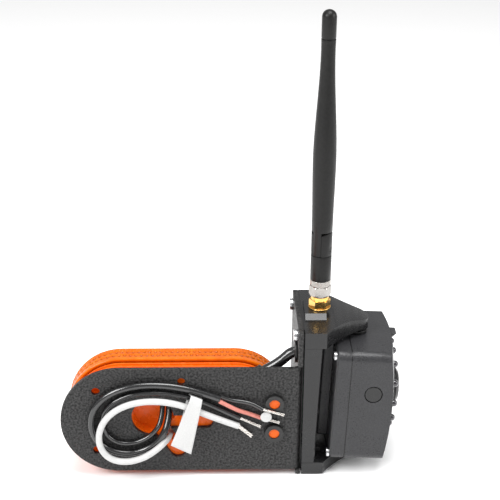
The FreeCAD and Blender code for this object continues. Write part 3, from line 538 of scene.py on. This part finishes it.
cap_low, cap_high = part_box("lamp_lens")
cap_radius = (cap_high.z - cap_low.z) / 2
cap_left = cap_low.x + cap_radius
cap_right = cap_high.x - cap_radius
cap_mid_z = (cap_high.z + cap_low.z) / 2


def cap_outline(count):
    """Points round a long oval with half-circle ends, evenly spaced, with the outward direction at each."""
    straight = cap_right - cap_left
    bend = math.pi * cap_radius
    s = np.linspace(0, 2 * straight + 2 * bend, count, endpoint=False)
    on_top = s < straight
    right_end = (s >= straight) & (s < straight + bend)
    below = (s >= straight + bend) & (s < 2 * straight + bend)
    stretches = [on_top, right_end, below]
    left_end_turn = math.pi + (s - 2 * straight - bend) / cap_radius
    turn = np.select(stretches, [0, (s - straight) / cap_radius, math.pi], left_end_turn)
    spine = np.select(stretches, [cap_left + s, cap_right, cap_right - (s - straight - bend)], cap_left)
    return s, spine, np.sin(turn), np.cos(turn)


def cap_shell():
    """The cap's side and face as one grid. Its radius and depth follow a rounded profile, staggered rows of
    dents (sine round the side times sine in depth) band the side, and cosine flutes with cross ribs lie on
    the face. Also gives how deep each point lies in a hollow, from 0 to 1, which sets the painted shade in the
    dents and flutes."""
    s, spine, out_x, out_z = cap_outline(760)
    depth = cap_high.y - cap_low.y
    round_over = 0.0024
    side = np.linspace(0, depth - round_over, 46)
    bend = np.linspace(0, math.pi / 2, 9)[1:]
    face = np.linspace(1, 0.0, 30)[1:]
    reach = np.concatenate([
        np.full(len(side), cap_radius), cap_radius - round_over * (1 - np.cos(bend)),
        (cap_radius - round_over) * face,
    ])
    out_y = np.concatenate([
        cap_low.y + side, cap_low.y + depth - round_over + round_over * np.sin(bend),
        np.full(len(face), cap_high.y),
    ])
    row = np.arange(len(reach))[:, None]
    is_side = row < len(side)
    is_face = row >= len(side) + len(bend)
    y = np.repeat(out_y[:, None], len(s), axis=1)
    bead_pitch, row_pitch, bead_depth = 0.0024, 0.0031, 0.0008
    flute_pitch, rib_pitch, flute_depth, fade_width = 0.003, 0.006, 0.0003, 0.0015
    band_low, band_rows = cap_low.y + 0.0016, 3
    rows_up = (y - band_low) / row_pitch
    shift = np.where(np.floor(rows_up) % 2 > 0, 0.5, 0.0)
    bead = np.abs(np.sin(np.pi * (s[None, :] / bead_pitch + shift)) * np.sin(np.pi * rows_up))
    inside = is_side & (rows_up > 0) & (rows_up < band_rows)
    dent = np.where(inside, bead_depth * bead, 0.0)
    radius = reach[:, None] - dent
    x = spine[None, :] + radius * out_x[None, :]
    z = cap_mid_z + radius * out_z[None, :]
    flutes = (0.5 + 0.5 * np.cos(2 * np.pi * x / flute_pitch)) * (0.6 + 0.4 * np.cos(2 * np.pi * z / rib_pitch))
    edge_fade = np.clip((cap_radius - round_over - radius) / fade_width, 0, 1)
    y = y - np.where(is_face, flute_depth * flutes * edge_fade, 0.0)
    hollow = np.where(inside, bead**0.7, np.where(is_face, 0.5 * flutes * edge_fade, 0.0))
    return np.stack([x, y, z], axis=-1), hollow


cap_points, cap_hollow_shade = cap_shell()
cap = grid_piece("lamp_cap", cap_points[:, ::-1], amber_cap, around=True)
mark = cap.data.attributes.new("hollow", "FLOAT", "POINT")
mark.data.foreach_set("value", cap_hollow_shade[:, ::-1].ravel())
wall = cap.modifiers.new("cap_wall", "SOLIDIFY")
wall.thickness = 0.0016
wall.offset = -1.0
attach(cap, "bracket")
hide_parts("lamp_lens")

rubber = grained("black_rubber", (0.004, 0.004, 0.004), (0.008, 0.008, 0.008), 1200.0, (0.3, 0.45), 0.00002)
board_white = grained(
    "board_white", (0.62, 0.60, 0.55), (0.72, 0.70, 0.66), 300.0, (0.4, 0.5), 0.00002, mottling=120.0,
)
led_resin = grained("led_yellow_resin", (0.78, 0.62, 0.16), (0.86, 0.72, 0.25), 900.0, (0.2, 0.3), 0.00002)
finish_node("lamp_board", board_white)
finish_node("lamp_leds", led_resin, 0.0002, 2)
finish_node("lamp_gasket", amber_tray_painted_glow)
finish_node("wire_bushes", rubber, 0.0003, 2)
finish_node("lamp_grommets", rubber, 0.0008, 4)


# ---- Camera lead ---------------------------------------------------------------------------
# A short black round cable from the camera holder to the lamp's side, through a grommet in the
# flange and a gland on the lamp.

finish_node("camera_lead", black_sheath)
finish_node("lead_gland", rubber, 0.0003, 2)
finish_node("flange_grommet", rubber, 0.0003, 2)


# ---- Camera holder -------------------------------------------------------------------------
# Two black nylon arms on a hollow back member, moulded with a satin skin and soft edges, and
# four bright pan-head screws through the flange.

holder_satin = grained(
    "holder_satin", (0.006, 0.006, 0.0065), (0.012, 0.012, 0.0125), 1300.0, (0.2, 0.3), 0.00001,
    Specular_IOR_Level=0.45,
)
bright_steel = grained(
    "bright_steel", (0.50, 0.50, 0.51), (0.68, 0.68, 0.69), 1600.0, (0.18, 0.32), 0.00001, Metallic=1.0,
)
for node, edge in (("top_arm", 0.0008), ("bottom_arm", 0.0008), ("holder_back", 0.0004)):
    finish_node(node, holder_satin, edge, 4)
finish_node("holder_gasket", rubber)
finish_node("flange_screws", bright_steel, 0.0004)
board_green = grained(
    "board_green", (0.01, 0.09, 0.035), (0.02, 0.16, 0.06), 400.0, (0.3, 0.4), 0.00002, mottling=200.0,
)
finish_node("radio_board", board_green)
finish_node("shield_can", bright_steel, 0.0002, 2)
finish_node("coax", black_sheath)


# ---- Antenna -------------------------------------------------------------------------------
# A gold-plated jack and hex nut on the top arm, a nickel-plated coupling nut, and a black rubber
# mast that swivels on the nut and folds at a pinned knuckle.

gold = grained(
    "gold_plate", (0.75, 0.42, 0.10), (0.90, 0.60, 0.22), 1400.0, (0.12, 0.24), 0.000008, Metallic=1.0,
)
nickel = grained(
    "nickel_plate", (0.30, 0.28, 0.26), (0.46, 0.44, 0.42), 1400.0, (0.16, 0.28), 0.000008, Metallic=1.0,
)
mast_rubber = grained(
    "mast_rubber", (0.004, 0.0039, 0.0038), (0.010, 0.0096, 0.0092), 900.0, (0.30, 0.44), 0.00002, mottling=120.0,
    Specular_IOR_Level=0.25,
)
insulator = grained("white_insulator", (0.8, 0.8, 0.78), (0.88, 0.88, 0.86), 500.0, (0.35, 0.45), 0.00001)
finish_node("antenna_jack", gold)
finish_node("jack_insulator", insulator)
finish_node("jack_washer", gold, 0.00015, 2)
finish_node("jack_nut", gold, 0.0003)


def nut_surface():
    """Radius by angle and height: a hexagon clipped to a cone below, a neck, then a collar of fine teeth."""
    low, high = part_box("coupling_nut")
    centre = (low + high) / 2
    tall = high.z - low.z
    flats, round_over, bore = 0.0042, 0.00478, 0.00315
    turn = np.linspace(0, 2 * np.pi, 360, endpoint=False)
    hexagon = flats / np.cos((turn % (np.pi / 3)) - np.pi / 6)
    collar, tooth_count, tooth_depth = 0.0045, 60, 0.00014
    teeth = collar - tooth_depth * (0.5 + 0.5 * np.cos(tooth_count * turn))
    rows = []
    for share, kind, limit in [
        (0.0, "round", bore), (0.0, "round", 0.0039), (0.03, "hex", 0.0043), (0.10, "hex", 0.0047),
        (0.16, "hex", round_over), (0.55, "hex", round_over), (0.61, "hex", 0.0045), (0.63, "round", 0.0041),
        (0.66, "round", 0.0041), (0.68, "teeth", 0.0044), (0.70, "teeth", 0.0045), (0.94, "teeth", 0.0045),
        (0.97, "teeth", 0.00435), (1.0, "round", 0.0040), (1.0, "round", bore), (0.0, "round", bore),
    ]:
        shape = {
            "round": np.full_like(turn, limit),
            "hex": np.minimum(hexagon, limit),
            "teeth": np.minimum(teeth, limit),
        }[kind]
        rows.append(np.stack([
            centre.x + shape * np.cos(turn), centre.y + shape * np.sin(turn),
            np.full_like(turn, low.z + share * tall),
        ], axis=-1))
    return np.stack(rows)


coupling = grid_piece("ribbed_coupling_nut", nut_surface(), nickel, around=True, smooth=False)
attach(coupling, "coupling_nut")
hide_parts("coupling_nut")
finish_node("antenna_swivel", mast_rubber, 0.00025)
finish_node("hinge_pin", mast_rubber, 0.0002, 2)
finish_node("antenna_element", tinned_wire)
finish_node("antenna_rod", mast_rubber, 0.0003)


# ---- Camera --------------------------------------------------------------------------------
# A front shell and a rear cover of charcoal plastic with a fine spark-eroded texture, four
# bright screws, a thin rubber seal, round side plugs, and a ring of LEDs round the lens.

camera_skin = grained(
    "camera_skin", (0.014, 0.014, 0.0152), (0.037, 0.037, 0.0395), 1600.0, (0.24, 0.38), 0.00004, mottling=70.0,
    Specular_IOR_Level=0.36,
)
gloss_black = grained("gloss_black", (0.006, 0.006, 0.007), (0.010, 0.010, 0.011), 900.0, (0.08, 0.14), 0.000005)
led_clear = grained(
    "led_clear", (0.006, 0.004, 0.008), (0.012, 0.008, 0.016), 500.0, (0.05, 0.1), 0.000002,
    Coat_Weight=1.0,
)
coated_glass = grained(
    "coated_glass", (0.03, 0.025, 0.06), (0.06, 0.04, 0.11), 60.0, (0.02, 0.04), 0.0,
    Coat_Weight=1.0, Coat_Roughness=0.02, Transmission_Weight=0.5,
)
for node, edge in (("front_shell", 0.0007), ("rear_cover", 0.0004), ("visor", 0.0003)):
    finish_node(node, camera_skin, edge)
for node, finish, *rounding in (
    ("side_plugs", rubber, 0.0003), ("cover_screws", bright_steel, 0.0003), ("cover_seal", rubber),
    ("pivot_pins", bright_steel, 0.0003), ("pivot_washers", rubber, 0.0002, 2),
    ("light_sensor", led_clear), ("infrared_leds", led_clear), ("lens_barrel", camera_skin, 0.0003),
    ("lens_ring", gloss_black, 0.0002, 2), ("lens_glass", coated_glass), ("rear_element", coated_glass),
    ("main_board", board_green), ("image_sensor", gloss_black), ("lens_holder", camera_skin),
    ("led_board", board_green),
):
    finish_node(node, finish, *rounding)
